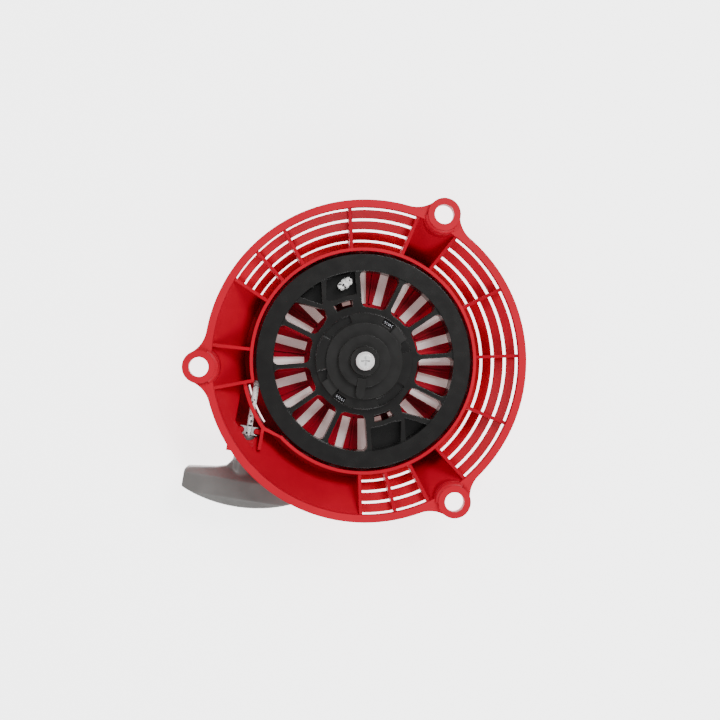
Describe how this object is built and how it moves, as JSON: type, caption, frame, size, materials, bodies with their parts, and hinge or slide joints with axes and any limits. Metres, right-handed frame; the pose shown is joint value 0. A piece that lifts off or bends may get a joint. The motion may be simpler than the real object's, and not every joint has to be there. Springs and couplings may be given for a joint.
{
  "type": "recoil starter",
  "caption": "Pull-rope starter with a slatted round case, bolt ears, a spoked rope reel with pawls and a T-shaped grip.",
  "frame": {"origin": "centre of the bolt circle, in the plane of the three ear faces", "axes": "+Z along the reel axis towards the engine; +X to the right seen from the engine side; the grip pulls towards -Y"},
  "size_m": [0.1995, 0.186, 0.0475],
  "materials": {
    "case_plastic": "moulded polypropylene, bright red, fine satin grain",
    "reel_plastic": "glass-filled nylon, black, satin with glossy edges",
    "guide_plastic": "nylon, dark grey, satin",
    "pawl_plastic": "acetal, dark grey",
    "grip_plastic": "charcoal plastic, satin",
    "screw_zinc": "bright zinc plate",
    "eyelet_steel": "polished plated steel",
    "spring_steel": "oiled spring steel",
    "rope": "braided nylon rope, white with black tracer flecks",
    "insert_brass": "turned brass"
  },
  "bodies": {
    "case": {"case": "case_plastic", "post_insert": "insert_brass", "setting_screw": "screw_zinc", "rope_eyelet": "eyelet_steel", "rope_run": "rope", "return_spring": "spring_steel"},
    "reel": {"reel": "reel_plastic", "rope_wound": "rope", "reel_knot": "rope", "friction_spring": "spring_steel", "pawl_spring_a": "spring_steel", "pawl_spring_b": "spring_steel"},
    "guide": {"ratchet_guide": "guide_plastic"},
    "pawl_a": {"pawl_a": "pawl_plastic"},
    "pawl_b": {"pawl_b": "pawl_plastic"},
    "grip": {"grip": "grip_plastic", "rope_grip_end": "rope", "grip_knot": "rope"}
  },
  "joints": [
    {"name": "reel_spin", "type": "hinge", "parent": "case", "child": "reel", "pos_m": [0, 0, -0.032], "axis": [0, 0, 1], "range_deg": [0, 1440], "stiffness_Nm_per_rad": 0.02, "springref_deg": -1031.32, "deforming": ["return_spring"]},
    {"name": "grip_pull", "type": "slide", "parent": "case", "child": "grip", "axis": [-0.165, -0.9863, 0], "range_m": [0, 1.47]},
    {"name": "guide_turn", "type": "hinge", "parent": "reel", "child": "guide", "pos_m": [0, 0, -0.02], "axis": [0, 0, -1], "range_deg": [0, 35], "deforming": ["friction_spring"]},
    {"name": "pawl_a_swing", "type": "hinge", "parent": "reel", "child": "pawl_a", "pos_m": [0.01873, 0.00834, -0.023], "axis": [0, 0, -1], "range_deg": [0, 28], "deforming": ["pawl_spring_a"]},
    {"name": "pawl_b_swing", "type": "hinge", "parent": "reel", "child": "pawl_b", "pos_m": [-0.01873, -0.00834, -0.023], "axis": [0, 0, -1], "range_deg": [0, 28], "deforming": ["pawl_spring_b"]}
  ],
  "couplings": [
    {"joint": "grip_pull", "follows": "reel_spin", "m_per_rad": 0.0583},
    {"joint": "pawl_a_swing", "follows": "guide_turn", "ratio": 0.8},
    {"joint": "pawl_b_swing", "follows": "guide_turn", "ratio": 0.8}
  ]
}
